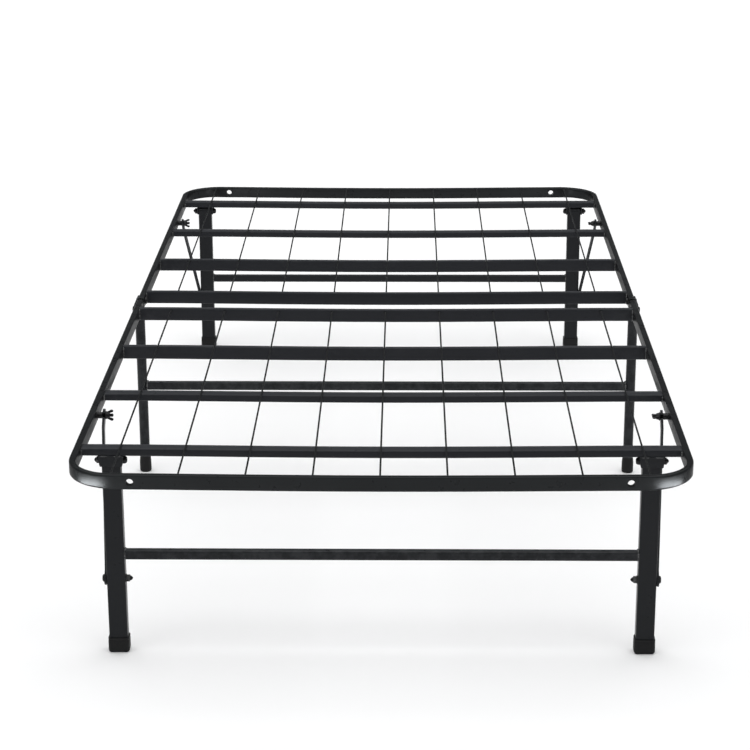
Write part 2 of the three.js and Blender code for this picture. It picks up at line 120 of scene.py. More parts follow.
def coated(name, dark, light, worn, rough, metallic, specular, grain, peel,
           coat=0.0, wear=0.6, tint=1.0):
    """A sprayed or moulded finish: slow colour drift, orange peel, fine grain, rubbed edges."""
    mat, nodes, links, shader = new_material(name)
    coords = nodes.new("ShaderNodeTexCoord")
    drift = noise(nodes, links, coords, 9, 4)
    fine = noise(nodes, links, coords, 1500, 2)
    broad = noise(nodes, links, coords, 170, 3)
    scuff = noise(nodes, links, coords, 60, 6, 0.65)
    colour = mixed(nodes, links, spread(nodes, links, drift.outputs["Fac"], 0, 1), dark, light)
    geometry = nodes.new("ShaderNodeNewGeometry")
    edge = spread(nodes, links, geometry.outputs["Pointiness"], 0, 1, 0.53, 0.62)
    patchy = spread(nodes, links, scuff.outputs["Fac"], 0, wear, 0.42, 0.62)
    rub = nodes.new("ShaderNodeMath")
    rub.operation = "MULTIPLY"
    links.new(edge, rub.inputs[0])
    links.new(patchy, rub.inputs[1])
    colour = mixed(nodes, links, rub.outputs["Value"], colour, worn)
    links.new(colour, shader.inputs["Base Color"])
    uneven = spread(nodes, links, scuff.outputs["Fac"], rough - 0.05, rough + 0.07)
    links.new(uneven, shader.inputs["Roughness"])
    shader.inputs["Metallic"].default_value = metallic
    shader.inputs["Specular IOR Level"].default_value = specular
    shader.inputs["Specular Tint"].default_value = (tint, tint, tint, 1)
    shader.inputs["Coat Weight"].default_value = coat
    shader.inputs["Coat Roughness"].default_value = 0.22
    peel_bump = nodes.new("ShaderNodeBump")
    peel_bump.inputs["Strength"].default_value = peel
    peel_bump.inputs["Distance"].default_value = 0.0006
    links.new(broad.outputs["Fac"], peel_bump.inputs["Height"])
    grain_bump = nodes.new("ShaderNodeBump")
    grain_bump.inputs["Strength"].default_value = grain
    grain_bump.inputs["Distance"].default_value = 0.00015
    links.new(fine.outputs["Fac"], grain_bump.inputs["Height"])
    links.new(peel_bump.outputs["Normal"], grain_bump.inputs["Normal"])
    links.new(grain_bump.outputs["Normal"], shader.inputs["Normal"])
    return mat


POWDER = coated(
    "powder_coat", (0.0145, 0.0155, 0.0172), (0.0162, 0.0172, 0.0192), (0.050, 0.053, 0.056),
    rough=0.31, metallic=0.0, specular=0.11, grain=0.18, peel=0.06)
# The slats' coat is the powder coat with a lighter base colour and a weaker sheen: painted light, so that
# the slats read brighter than the rails and legs.
SLAT_COAT_PAINTED_LIGHTER = coated(
    "slat_coat_painted_lighter", (0.0215, 0.0226, 0.0258), (0.0237, 0.0250, 0.0284), (0.050, 0.053, 0.056),
    rough=0.31, metallic=0.0, specular=0.07, grain=0.18, peel=0.06)
RIM_COAT = coated(
    "rim_coat", (0.0215, 0.0228, 0.0238), (0.0238, 0.0252, 0.0262), (0.06, 0.063, 0.065),
    rough=0.30, metallic=0.55, specular=0.10, grain=0.18, peel=0.06, tint=0.25)
# The weld coat's colour is lighter than the powder coat's: painted glints on the weld beads.
WELD_PAINTED_GLINT = coated(
    "coated_weld_painted_glint", (0.0180, 0.0190, 0.0200), (0.0400, 0.0415, 0.0430), (0.08, 0.082, 0.084),
    rough=0.22, metallic=0.0, specular=0.5, grain=0.15, peel=0.15, coat=0.4)
WIRE_COAT = coated(
    "wire_coat", (0.0085, 0.0090, 0.0095), (0.0110, 0.0118, 0.0126), (0.04, 0.04, 0.04),
    rough=0.48, metallic=0.0, specular=0.04, grain=0.2, peel=0.12)
HARDWARE = coated(
    "black_zinc", (0.007, 0.007, 0.008), (0.013, 0.013, 0.014), (0.10, 0.10, 0.10),
    rough=0.36, metallic=0.2, specular=0.25, grain=0.3, peel=0.1, wear=0.8)
PLASTIC = coated(
    "foot_plastic", (0.0105, 0.0105, 0.0108), (0.0145, 0.0145, 0.0148), (0.03, 0.03, 0.03),
    rough=0.55, metallic=0.0, specular=0.16, grain=0.9, peel=0.3, wear=0.4)

# ---------- mesh helpers ----------


def rounded_rect(width, height, radius, steps=4):
    """An outline's points. Any size has the same number, so that outlines join point to point."""
    points = []
    for cx, cy, start in ((1, -1, -90), (1, 1, 0), (-1, 1, 90), (-1, -1, 180)):
        for i in range(steps + 1):
            a = math.radians(start + 90 * i / steps)
            points.append((cx * (width / 2 - radius) + radius * math.cos(a),
                           cy * (height / 2 - radius) + radius * math.sin(a)))
    return points


def circle(radius, count):
    turns = [2 * math.pi * i / count for i in range(count)]
    return [(radius * math.cos(a), radius * math.sin(a)) for a in turns]


def add_ring(bm, origin, u, v, outline):
    return [bm.verts.new(Vector(origin) + Vector(u) * a + Vector(v) * b) for a, b in outline]


def bridge(bm, rings):
    """Skins a row of rings with quads, and closes both ends with one face each."""
    for low, high in zip(rings, rings[1:]):
        count = len(low)
        for i in range(count):
            j = (i + 1) % count
            bm.faces.new((low[i], low[j], high[j], high[i]))
    bm.faces.new(list(reversed(rings[0])))
    bm.faces.new(rings[-1])


def add_tube(bm, stations, outline):
    """A rod or tube with closed ends, through stations of (origin, u, v)."""
    bridge(bm, [add_ring(bm, o, u, v, outline) for o, u, v in stations])


def add_straight(bm, start, end, outline, u, v):
    add_tube(bm, [(start, u, v), (end, u, v)], outline)


def add_turned(bm, origin, axis, profile, count=28):
    """A turned piece. profile lists (height along the axis, radius) and starts and ends at radius 0."""
    axis = Vector(axis).normalized()
    u = axis.orthogonal().normalized()
    v = axis.cross(u)
    rings = []
    for h, r in profile:
        centre = Vector(origin) + axis * h
        rings.append([bm.verts.new(centre)] if r == 0 else add_ring(bm, centre, u, v, circle(r, count)))
    for low, high in zip(rings, rings[1:]):
        for i in range(count):
            j = (i + 1) % count
            if len(low) == 1:
                bm.faces.new((low[0], high[j], high[i]))
            elif len(high) == 1:
                bm.faces.new((low[i], low[j], high[0]))
            else:
                bm.faces.new((low[i], low[j], high[j], high[i]))


def add_plate(bm, outline, origin, u, v, thickness):
    """A flat plate whose outline lies in the u, v plane, from the origin out along u x v."""
    n = Vector(u).cross(Vector(v)).normalized()
    low = add_ring(bm, origin, u, v, outline)
    high = add_ring(bm, Vector(origin) + n * thickness, u, v, outline)
    bridge(bm, [low, high])


def add_bead(bm, points, radius, seed):
    """A weld bead: a lumpy thread of overlapping ripples along a line of points."""
    rng = random.Random(seed)
    path = [Vector(p) for p in points]
    dense = []
    for a, b in zip(path, path[1:]):
        steps = max(1, round((b - a).length / 0.7))
        dense += [a.lerp(b, i / steps) for i in range(steps)]
    dense.append(path[-1])
    rings = []
    phase = rng.random() * 6
    for i, p in enumerate(dense):
        ahead = dense[min(i + 1, len(dense) - 1)] - dense[max(i - 1, 0)]
        u = ahead.orthogonal().normalized()
        v = ahead.normalized().cross(u)
        taper = min(1, 0.35 + 0.65 * min(i, len(dense) - 1 - i) / 2.5)
        r = radius * taper * (1 + 0.17 * math.sin(i * 1.9 + phase) + 0.10 * (rng.random() - 0.5))
        rings.append(add_ring(bm, p, u, v, circle(r, 8)))
    bridge(bm, rings)


def dome_nut(bm, origin, axis, length, hex_r=6.2):
    """A washer, a hexagon and a dome on it."""
    washer = 1.4
    hexagon = length * 0.46
    add_turned(bm, origin, axis,
               [(0, 0), (0, 6.6), (0.4, 6.8), (1, 6.8), (washer, 6.5), (washer, 0)])
    add_turned(bm, Vector(origin) + Vector(axis) * washer, axis,
               [(0, 0), (0, hex_r - 0.3), (0.5, hex_r), (length * 0.42, hex_r),
                (hexagon, hex_r - 0.7), (hexagon, 0)], 6)
    base = length * 0.42 + washer
    rise = length - base
    dome = []
    for a in (math.radians(k) for k in range(0, 90, 10)):
        dome.append((base + rise * math.sin(a) ** 1.1, 4.3 * math.cos(a) ** 1.5))
    add_turned(bm, origin, axis, [(base, 0), *dome, (length, 0)], 24)


def bolt_head(bm, origin, axis, length, radius=6.3):
    """A low round head with a sunk middle."""
    dome = []
    for k in range(0, 91, 15):
        height = length * (0.25 + 0.75 * math.sin(math.radians(k)))
        dome.append((height, radius * math.cos(math.radians(k * 0.72)) ** 1.1))
    rim_r = dome[-1][1]
    sunk = length * 0.45
    add_turned(bm, origin, axis,
               [(0, 0), (0, radius - 0.3), (0.3, radius), *dome,
                (length - 0.3, rim_r - 0.6), (sunk, rim_r - 0.7), (sunk, 0)])


def bolt_shank(bm, origin, axis, length):
    add_turned(bm, origin, axis, [(0, 0), (0, BOLT_R), (length, BOLT_R), (length, 0)], 20)


def placed(bm, turned=1):
    """Moves a piece drawn for the front half to its half, in metres. turned is -1 for the back."""
    bmesh.ops.remove_doubles(bm, verts=bm.verts, dist=1e-4)
    for v in bm.verts:
        v.co = Vector((v.co.x * turned, v.co.y * turned, v.co.z)) / 1000
    bmesh.ops.recalc_face_normals(bm, faces=bm.faces)


def raw_object(name, bm):
    mesh = bpy.data.meshes.new(name)
    bm.to_mesh(mesh)
    bm.free()
    ob = bpy.data.objects.new(name, mesh)
    bpy.context.collection.objects.link(ob)
    return ob


def flattened(ob):
    """Replaces an object's mesh by what its modifiers make of it."""
    graph = bpy.context.evaluated_depsgraph_get()
    mesh = bpy.data.meshes.new_from_object(ob.evaluated_get(graph))
    ob.modifiers.clear()
    ob.data = mesh


def boolean(ob, name, other, operation):
    """Cuts, joins or trims ob by a solid, which is then thrown away."""
    other = raw_object(name, other)
    mod = ob.modifiers.new("boolean", "BOOLEAN")
    mod.operation = operation
    mod.solver = "EXACT"
    mod.object = other
    flattened(ob)
    bpy.data.objects.remove(other)


def bevelled(ob, width, segments=2, angle=35):
    mod = ob.modifiers.new("bevel", "BEVEL")
    mod.width = width / 1000
    mod.segments = segments
    mod.limit_method = "ANGLE"
    mod.angle_limit = math.radians(angle)
    return ob


def piece(ob, body, slot, material, *nodes, smooth=38):
    """Gives a piece its finish and its body, and hides the CAD nodes that it stands for."""
    ob.data.materials.clear()
    ob.data.materials.append(material)
    ob.data.shade_smooth()
    ob.data.set_sharp_from_angle(angle=math.radians(smooth))
    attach(ob, body)
    if nodes:
        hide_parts(*nodes)
    return ob


# ---------- one half of the deck ----------

X, Y, Z = Vector((1, 0, 0)), Vector((0, 1, 0)), Vector((0, 0, 1))


def bowed(ob):
    """Lets the deck sag between the side rails as a loaded beam with both ends held."""
    for v in ob.data.vertices:
        v.co.z -= BOW * (1 - min(1, (v.co.x * 1000 / RAIL_INNER) ** 2)) ** 2 / 1000
    return ob


def rim_stations():
    """The rim's path, as (centre, outward, bend). bend is 1 in the corners, where the tube is rounder."""
    mid = CORNER - RAIL_ACROSS / 2
    cx = WIDTH / 2 - CORNER
    cy = -LENGTH / 2 + CORNER
    stations = [(Vector((-cx - mid, -FOLD_GAP / 2, RAIL_MID_Z)), -X, 0)]
    for centre, start in ((-cx, 180), (cx, 270)):
        if centre > 0:
            along = [cx * k / 6 for k in range(-5, 6)]
            stations += [(Vector((x, cy - mid, RAIL_MID_Z)), -Y, 0) for x in along]
        for i in range(25):
            a = math.radians(start + 90 * i / 24)
            out = Vector((math.cos(a), math.sin(a), 0))
            bend = min(1, i / 6, (24 - i) / 6)
            stations.append((Vector((centre, cy, RAIL_MID_Z)) + out * mid, out, bend))
    stations.append((Vector((cx + mid, -FOLD_GAP / 2, RAIL_MID_Z)), X, 0))
    return stations


def rim(end, turned):
    """The rim tube with open ends at the fold and two holes in its end rail."""
    bm = bmesh.new()
    stations = rim_stations()
    rings = []
    for origin, out, bend in stations:
        outline = rounded_rect(RAIL_ACROSS, TUBE_TALL, 2.4 + 2.4 * bend)
        rings.append(add_ring(bm, origin, out, Z, outline))
    mouth = rounded_rect(RAIL_ACROSS - 2.4, TUBE_TALL - 2.4, 1.2)
    for first in (True, False):
        origin, out, _ = stations[0 if first else -1]
        inside = [add_ring(bm, origin + Y * deep, out, Z, mouth) for deep in (0, -25)]
        rings = inside[::-1] + rings if first else rings + inside
    bridge(bm, rings)
    placed(bm)
    ob = raw_object(f"{end}_rim_tube", bm)
    for side in (-1, 1):
        cutter = bmesh.new()
        add_turned(cutter, (side * BOARD_HOLE_X, -LENGTH / 2 - 3, RAIL_MID_Z), Y,
                   [(0, 0), (0, 6.6), (3.2, BOARD_HOLE_R), (16, BOARD_HOLE_R), (16, 0)], 32)
        placed(cutter)
        boolean(ob, "cutter", cutter, "DIFFERENCE")
    for v in ob.data.vertices:
        v.co.x, v.co.y = v.co.x * turned, v.co.y * turned
    return piece(bowed(ob), f"{end}_deck", "powder_coat", RIM_COAT, f"{end}_rim")


def slat_bead(bm, side, y, low, high, seed):
    """Weld beads up the front and back faces of a slat, where it meets the rail."""
    x = side * (RAIL_INNER - 0.3)
    for k, face in ((0, y[0]), (1, y[1])):
        add_bead(bm, [(x, face, low + 1), (x, face, high - 1.4)], 1.9, seed + k)


def slat(end, turned, kind, from_fold, tall, seed):
    """A slat, and the weld beads at both its ends. Only the middle slat is notched for the wires."""
    bm = bmesh.new()
    deep, high = (SLAT_ACROSS, TUBE_TALL) if tall else (TUBE_TALL, SLAT_ACROSS)
    top = TALL_TOP if tall else FLAT_TOP
    reach = RAIL_INNER + 0.2
    z = top - high / 2
    stations = [((reach * k / 8, -from_fold, z), Y, Z) for k in range(-8, 9)]
    add_tube(bm, stations, rounded_rect(deep, high, SLAT_CORNER))
    placed(bm, turned)
    ob = raw_object(f"{end}_{kind}_slat_tube", bm)
    if kind == "middle":
        cutter = bmesh.new()
        notch = rounded_rect(3.8, 8, 1.6)
        notch_z = WIRE_Z + 2.2
        for x in WIRE_XS:
            start, stop = (x, -from_fold - 20, notch_z), (x, -from_fold + 20, notch_z)
            add_straight(cutter, start, stop, notch, X, Z)
        placed(cutter, turned)
        boolean(ob, "cutter", cutter, "DIFFERENCE")
    piece(bowed(ob), f"{end}_deck", "powder_coat", SLAT_COAT_PAINTED_LIGHTER, f"{end}_{kind}_slat")
    beads = bmesh.new()
    faces = (-from_fold - deep / 2 - 0.2, -from_fold + deep / 2 + 0.2)
    for side in (-1, 1):
        slat_bead(beads, side, faces, z - high / 2, top, seed + 10 * side)
    placed(beads, turned)
    piece(raw_object(f"{end}_{kind}_slat_welds", beads), f"{end}_deck", "powder_coat", WELD_PAINTED_GLINT)


def wire(end, turned, index):
    """A wire whose ends dip, one into the rim and the other into the hinge slat."""
    x = WIRE_XS[index]
    bm = bmesh.new()
    rim_end = -LENGTH / 2 + RAIL_ACROSS - 3.6
    slat_end = -HINGE_SLAT - SLAT_ACROSS / 2
    path = [(rim_end, -2.2), (rim_end + 0.9, -0.5), (rim_end + 2.4, 0)]
    path += [(-900 + 100 * i, 0) for i in range(9)]
    path += [(slat_end - 13, 0), (slat_end - 10.5, -0.5), (slat_end - 5.5, -2.4),
             (slat_end - 3, -3), (slat_end + 3, -3)]
    points = [Vector((x, y, WIRE_Z + dip)) for y, dip in path]
    stations = []
    for i, p in enumerate(points):
        ahead = (points[min(i + 1, len(points) - 1)] - points[max(i - 1, 0)]).normalized()
        stations.append((p, X, X.cross(ahead)))
    add_tube(bm, stations, circle(WIRE_R, 14))
    add_turned(bm, (x, slat_end + 0.2, WIRE_Z - 3), -Y,
               [(0, 0), (0, 2.5), (0.5, 2.3), (0.9, 1.7), (1.0, 0)], 14)
    placed(bm, turned)
    number = index + 1 if turned > 0 else 9 - index
    ob = bowed(raw_object(f"{end}_wire_rod_{number}", bm))
    piece(ob, f"{end}_deck", "powder_coat", WIRE_COAT, f"{end}_wire_{number}")


def stud(end, turned, side, hand):
    """The spacer welded to the side rail, and the threaded stud in it."""
    bm = bmesh.new()
    root = (side * RAIL_INNER, -STUD_Y, RAIL_MID_Z)
    axis = Vector((-side, 0, 0))
    add_turned(bm, root, axis,
               [(-0.3, 0), (-0.3, 6.6), (0.6, 6.1), (1.2, SPACER_R), (SPACER_LENGTH - 0.5, SPACER_R),
                (SPACER_LENGTH, 5), (SPACER_LENGTH, 0)], 24)
    profile = [(SPACER_LENGTH - 1, 0), (SPACER_LENGTH - 1, 2.5)]
    h = SPACER_LENGTH
    while h < STUD_LENGTH - 0.8:
        profile += [(h, 2.5), (h + 0.5, 2.95)]
        h += 1
    profile += [(STUD_LENGTH - 0.4, 2.3), (STUD_LENGTH, 1.9), (STUD_LENGTH, 0)]
    add_turned(bm, root, axis, profile, 20)
    placed(bm, turned)
    piece(raw_object(f"{end}_stud_{hand}", bm), f"{end}_deck", "hardware", HARDWARE)


def wing_nut(end, turned, side, hand):
    """A cast wing nut: hub and wings melted together by a remesh."""
    bm = bmesh.new()
    start = RAIL_INNER - SPACER_LENGTH - BRACE_THICK - 0.6
    upright = side * turned < 0
    axis = Vector((-side, 0, 0))
    origin = Vector((side * start, -STUD_Y, RAIL_MID_Z))
    hub = [(0, 0), (0, 6.5), (0.5, 6.9), (1.2, 6.9), (2.2, 6), (6.4, 4.8), (7, 4.3), (7, 0)]
    add_turned(bm, origin, axis, hub, 32)
    wing = [(0.6, 2.6), (1.0, 5.6), (6.8, 8.0), (9.0, 9.3), (10.8, 9.6), (12.4, 8.9), (13.2, 7.4),
            (12.6, 5.9), (11.2, 5.1), (8.6, 4.6), (6.4, 2.8)]
    wing_thick = 2.8
    across = Z if upright else Y
    normal = axis.cross(across).normalized()
    for sign in (-1, 1):
        outline = [(a, sign * b) for a, b in wing]
        add_plate(bm, outline, origin - normal * wing_thick / 2, axis, across, wing_thick)
    placed(bm, turned)
    ob = raw_object(f"{end}_wing_nut_cast_{hand}", bm)
    melt = ob.modifiers.new("melt", "REMESH")
    melt.mode = "VOXEL"
    melt.voxel_size = 0.0004
    ease = ob.modifiers.new("ease", "SMOOTH")
    ease.iterations = 6
    flattened(ob)
    name = f"{end}_wing_nut_{hand}"
    piece(ob, name, "hardware", HARDWARE, name, smooth=60)


def brace(end, turned, side, hand):
    """A bent flat bar, trimmed to round ends, with an open hook at its stud."""
    run = LEG_Y - STUD_Y
    rise = RAIL_MID_Z - LOW_BOLT_Z
    length = math.hypot(run, rise)
    along = Vector((0, run, rise)) / length
    across = Vector((0, -rise, run)) / length
    foot = Vector((0, -LEG_Y, LOW_BOLT_Z))
    low = LEG_X + LEG_ACROSS / 2 + 0.3
    high = RAIL_INNER - SPACER_LENGTH - 0.3 - BRACE_THICK
    bends = [(-BRACE_END, low), (12, low), (14, low + 0.05), (17, low + 0.3), (length - 27, high - 0.3),
             (length - 24, high - 0.05), (length - 22, high), (length + BRACE_END, high)]
    band = bends + [(s, x + BRACE_THICK) for s, x in reversed(bends)]
    bm = bmesh.new()
    add_plate(bm, [(s, side * x) for s, x in band], foot + across * BRACE_WIDE, along, X, 2 * BRACE_WIDE)
    half = BRACE_WIDE / 2
    outline = []
    for centre, start in ((half - BRACE_END, 90), (length + BRACE_END - half, -90)):
        for i in range(13):
            a = math.radians(start + 180 * i / 12)
            outline.append((centre + half * math.cos(a), half * math.sin(a)))
    plan = bmesh.new()
    add_plate(plan, outline, foot - X * 600, along, across, 1200)
    hook = bmesh.new()
    leave = (along * -0.37 + across * 0.93).normalized()
    seat = foot + along * length
    slot = []
    for a in (math.radians(k) for k in range(90, 271, 15)):
        slot.append((HOOK_R * math.cos(a), HOOK_R * math.sin(a)))
    slot += [(20, -HOOK_R), (20, HOOK_R)]
    add_plate(hook, slot, seat - X * 600, leave, X.cross(leave), 1200)
    for b in (bm, plan, hook):
        placed(b, turned)
    ob = raw_object(f"{end}_brace_bar_{hand}", bm)
    boolean(ob, "plan", plan, "INTERSECT")
    boolean(ob, "hook", hook, "DIFFERENCE")
    bevelled(ob, 0.6, 2, 40)
    piece(ob, f"{end}_brace_{hand}", "powder_coat", POWDER, f"{end}_brace_{hand}")


# ---------- end legs ----------


def end_leg(end, turned, side, hand):
    """A leg with a round top, and its low bolt."""
    bm = bmesh.new()
    r = LEG_DEEP / 2
    outline = [(-r, 4.3), (r, 4.3), (r, PIVOT_Z)]
    for a in (math.radians(k) for k in range(12, 180, 12)):
        outline.append((r * math.cos(a), PIVOT_Z + r * math.sin(a)))
    outline.append((-r, PIVOT_Z))
    add_plate(bm, outline, (side * LEG_X - LEG_ACROSS / 2, -LEG_Y, 0), Y, Z, LEG_ACROSS)
    placed(bm, turned)
    ob = bevelled(raw_object(f"{end}_leg_tube_{hand}", bm), 2.6, 4, 50)
    piece(ob, f"{end}_legs", "powder_coat", POWDER, f"{end}_leg_{hand}")
    bolts = bmesh.new()
    out = X * side
    centre = Vector((side * LEG_X, -LEG_Y, LOW_BOLT_Z))
    inner = centre - out * (LEG_ACROSS / 2 - 0.1)
    outer = centre + out * (LEG_ACROSS / 2 + BRACE_THICK + 0.6)
    dome_nut(bolts, inner, -out, 11.5)
    bolt_head(bolts, outer, out, 3.3)
    bolt_shank(bolts, inner, out, LEG_ACROSS + 5.5)
    placed(bolts, turned)
    piece(raw_object(f"{end}_low_bolt_{hand}", bolts), f"{end}_legs", "hardware", HARDWARE)


def cup(bm, origin, levels):
    """A moulded cup from (z, width, depth, corner radius) levels, up its outside and down its pocket."""
    rings = []
    for z, width, depth, radius in levels:
        rings.append(add_ring(bm, Vector(origin) + Z * z, X, Y, rounded_rect(width, depth, radius, 6)))
    bridge(bm, rings)


def end_foot(end, turned, side, hand):
    bm = bmesh.new()
    outside = [(0, 27.6, 17.6, 3), (0.35, 30.6, 20.6, 4), (1.2, 32.6, 22.6, 4.6), (2.6, 33.8, 23.8, 5),
               (4.5, 34.2, 24.2, 5), (20.5, 34.0, 24.0, 5), (21.2, 33.2, 23.2, 4.7),
               (22.0, 33.2, 23.2, 4.7), (22.6, 34.0, 24.0, 5), (24.6, 33.9, 23.9, 5),
               (25.3, 33.2, 23.2, 4.6), (25.4, 32.4, 22.4, 4.2)]
    pocket = [(25.4, 30.9, 20.9, 3.4), (25.0, 30.5, 20.5, 3.2), (15, 30.5, 20.5, 3.2)]
    cup(bm, (side * LEG_X, -LEG_Y, 0), outside + pocket)
    placed(bm, turned)
    ob = raw_object(f"{end}_foot_cup_{hand}", bm)
    piece(ob, f"{end}_legs", "foot_plastic", PLASTIC, f"{end}_foot_{hand}")


def bar_beads(bm, reach, y, z, seed):
    """Weld beads round both ends of a cross bar, on its front, back and top."""
    h = BAR / 2
    for side in (-1, 1):
        x = side * reach
        front = [(x, y - h - 0.1, z - h + 1), (x, y - h - 0.1, z + h - 1)]
        back = [(x, y + h + 0.1, z - h + 1), (x, y + h + 0.1, z + h - 1)]
        top = [(x, y - h + 1, z + h + 0.1), (x, y + h - 1, z + h + 0.1)]
        for k, line in enumerate((front, back, top)):
            add_bead(bm, line, 2.0, seed + 3 * side + k)


def cross_bar(names, body, node, reach, y, z, bead_reach, turned, seed):
    """A square bar between two legs, and the beads at its ends."""
    bm = bmesh.new()
    add_straight(bm, (-reach, y, z), (reach, y, z), rounded_rect(BAR, BAR, BAR_CORNER), Y, Z)
    placed(bm, turned)
    piece(raw_object(f"{names}_tube", bm), body, "powder_coat", POWDER, node)
    beads = bmesh.new()
    bar_beads(beads, bead_reach, y, z, seed)
    placed(beads, turned)
    piece(raw_object(f"{names}_welds", beads), body, "powder_coat", WELD_PAINTED_GLINT)


def pivot_bracket(end, turned, side, hand):
    """A folded sheet under the end slat, with its pivot bolt and weld beads."""
    half = LEG_ACROSS / 2 + 0.4
    outer = half + SHEET
    front = -LEG_DEEP / 2 - 0.5
    back = LEG_DEEP / 2
    top = FLAT_TOP - SLAT_ACROSS + 0.2
    cx = side * LEG_X
    neck = [(BRACKET_TOP_HALF - 0.6, PIVOT_Z + 5.4), (BRACKET_TOP_HALF, PIVOT_Z + 6.6),
            (BRACKET_TOP_HALF, top)]
    web = [(-outer + 1, BRACKET_BOTTOM), (outer - 1, BRACKET_BOTTOM), (outer, BRACKET_BOTTOM + 1.2)]
    web += neck + [(-x, z) for x, z in reversed(neck)]
    web.append((-outer, BRACKET_BOTTOM + 1.2))
    bm = bmesh.new()
    add_plate(bm, web, (cx, -LEG_Y + front, 0), X, Z, SHEET)
    placed(bm, turned)
    ob = raw_object(f"{end}_bracket_sheet_{hand}", bm)
    lap = front - SHEET / 2
    sheet = [(lap, BRACKET_BOTTOM), (back - 5, BRACKET_BOTTOM), (back - 1.4, BRACKET_BOTTOM + 1.4),
             (back, BRACKET_BOTTOM + 5), (back, top), (lap, top)]
    for x0 in (cx - outer, cx + half):
        cheek = bmesh.new()
        add_plate(cheek, sheet, (x0, -LEG_Y, 0), Y, Z, SHEET)
        placed(cheek, turned)
        boolean(ob, "cheek", cheek, "UNION")
    bevelled(ob, 0.6, 2, 40)
    piece(ob, f"{end}_deck", "powder_coat", POWDER, f"{end}_pivot_bracket_{hand}")
    bolts = bmesh.new()
    pin = Vector((cx, -LEG_Y, PIVOT_Z))
    out = X * side
    dome_nut(bolts, pin + out * (outer - 0.1), out, 9.9)
    bolt_head(bolts, pin - out * (outer - 0.1), -out, 7.2)
    bolt_shank(bolts, pin - X * (outer - 0.2), X, 2 * outer - 0.4)
    placed(bolts, turned)
    piece(raw_object(f"{end}_pivot_bolt_{hand}", bolts), f"{end}_deck", "hardware", HARDWARE)
    beads = bmesh.new()
    y0 = -LEG_Y + front - SHEET + 0.2
    for start, seed in ((-17, 70 + side), (5, 80 + side)):
        add_bead(beads, [(cx + start, y0, top - 0.4), (cx + start + 12, y0, top - 0.4)], 1.4, seed)
    placed(beads, turned)
    piece(raw_object(f"{end}_bracket_welds_{hand}", beads), f"{end}_deck", "powder_coat", WELD_PAINTED_GLINT)


SLATS = (("end", END_SLAT, False), ("inner", INNER_SLAT, False),
         ("middle", MIDDLE_SLAT, True), ("hinge", HINGE_SLAT, True))


def half_bed(end, turned):
    """Builds one half of the bed and returns its rim."""
    rim_tube = rim(end, turned)
    for n, (kind, at, tall) in enumerate(SLATS):
        slat(end, turned, kind, at, tall, 100 * (n + 1) + (5 if turned > 0 else 55))
    for index in range(len(WIRE_XS)):
        wire(end, turned, index)
    reach = LEG_X - LEG_ACROSS / 2 + 0.2
    name = f"{end}_leg_bar"
    cross_bar(name, f"{end}_legs", name, reach, -LEG_Y, END_BAR_Z, reach - 0.5, turned, 40)
    for side in (-1, 1):
        hand = "left" if side * turned < 0 else "right"
        for build in (stud, wing_nut, brace, end_leg, end_foot, pivot_bracket):
            build(end, turned, side, hand)
    return rim_tube


rims = [half_bed("front", 1), half_bed("back", -1)]

# ---------- centre support ----------


def hinge_plate(side, hand, top):
    """A round-cornered plate on the outside of both rail ends, folded under them as a saddle."""
    outer_x = WIDTH / 2 + 0.3 + PLATE_THICK
    middle = (PLATE_TOP + top) / 2
    outline = [(a, middle + b) for a, b in rounded_rect(2 * PLATE_HALF, PLATE_TOP - top, 10, 8)]
    bm = bmesh.new()
    add_plate(bm, outline, (outer_x - PLATE_THICK if side > 0 else -outer_x, 0, 0), Y, Z, PLATE_THICK)
    placed(bm)
    ob = raw_object(f"hinge_sheet_{hand}", bm)
    start = CENTRE_X - CENTRE_R
    fold = [(start, top - PLATE_THICK), (outer_x - 1.5, top - PLATE_THICK), (outer_x - 0.4, top - 2.1),
            (outer_x, top - 1), (outer_x, top + 4), (outer_x - PLATE_THICK, top + 4),
            (outer_x - PLATE_THICK, top), (start, top)]
    saddle = bmesh.new()
    add_plate(saddle, [(side * a, b) for a, b in fold], (0, SADDLE_HALF, 0), X, Z, 2 * SADDLE_HALF)
    placed(saddle)
    boolean(ob, "saddle", saddle, "UNION")
    bevelled(ob, 0.6, 2, 40)
    piece(ob, "centre_support", "powder_coat", POWDER, f"hinge_plate_{hand}")
    bolts = bmesh.new()
    out = X * side
    for end in (-1, 1):
        pin = Vector((0, end * HINGE_Y, RAIL_MID_Z))
        bolt_head(bolts, pin + out * (outer_x - 0.1), out, 3.6)
        bolt_head(bolts, pin + out * (RAIL_INNER - 0.3), -out, 4.9)
    placed(bolts)
    piece(raw_object(f"hinge_bolts_{hand}", bolts), "centre_support", "hardware", HARDWARE)


def centre_side(side, hand):
    """One side of the centre support: hinge plate, round leg and foot."""
    top = HEIGHT - TUBE_TALL - 0.3
    hinge_plate(side, hand, top)
    cx = side * CENTRE_X
    leg = bmesh.new()
    add_straight(leg, (cx, CENTRE_Y, 4.3), (cx, CENTRE_Y, top - PLATE_THICK), circle(CENTRE_R, 48), X, Y)
    placed(leg)
    tube = raw_object(f"centre_leg_tube_{hand}", leg)
    piece(tube, "centre_support", "powder_coat", POWDER, f"centre_leg_{hand}")
    foot = bmesh.new()
    profile = [(0, 0), (0, 8.6), (0.3, 9.8), (1.2, 10.9), (2.6, 11.45), (4, 11.5), (21.5, 11.4),
               (23, 11.2), (26, 10.9), (29, 10.7), (29.8, 10.4), (30, 10.1), (29.8, 9.75),
               (29, 9.7), (15, 9.7), (15, 0)]
    add_turned(foot, (cx, CENTRE_Y, 0), Z, profile, 48)
    placed(foot)
    cup_ob = raw_object(f"centre_foot_cup_{hand}", foot)
    piece(cup_ob, "centre_support", "foot_plastic", PLASTIC, f"centre_foot_{hand}")


for side, hand in ((-1, "left"), (1, "right")):
    centre_side(side, hand)
reach = CENTRE_X - CENTRE_R + 0.6
cross_bar("centre_bar", "centre_support", "centre_leg_bar",
          reach, CENTRE_Y, CENTRE_BAR_Z, reach - 1, 1, 60)

# ---------- floor, light and camera ----------

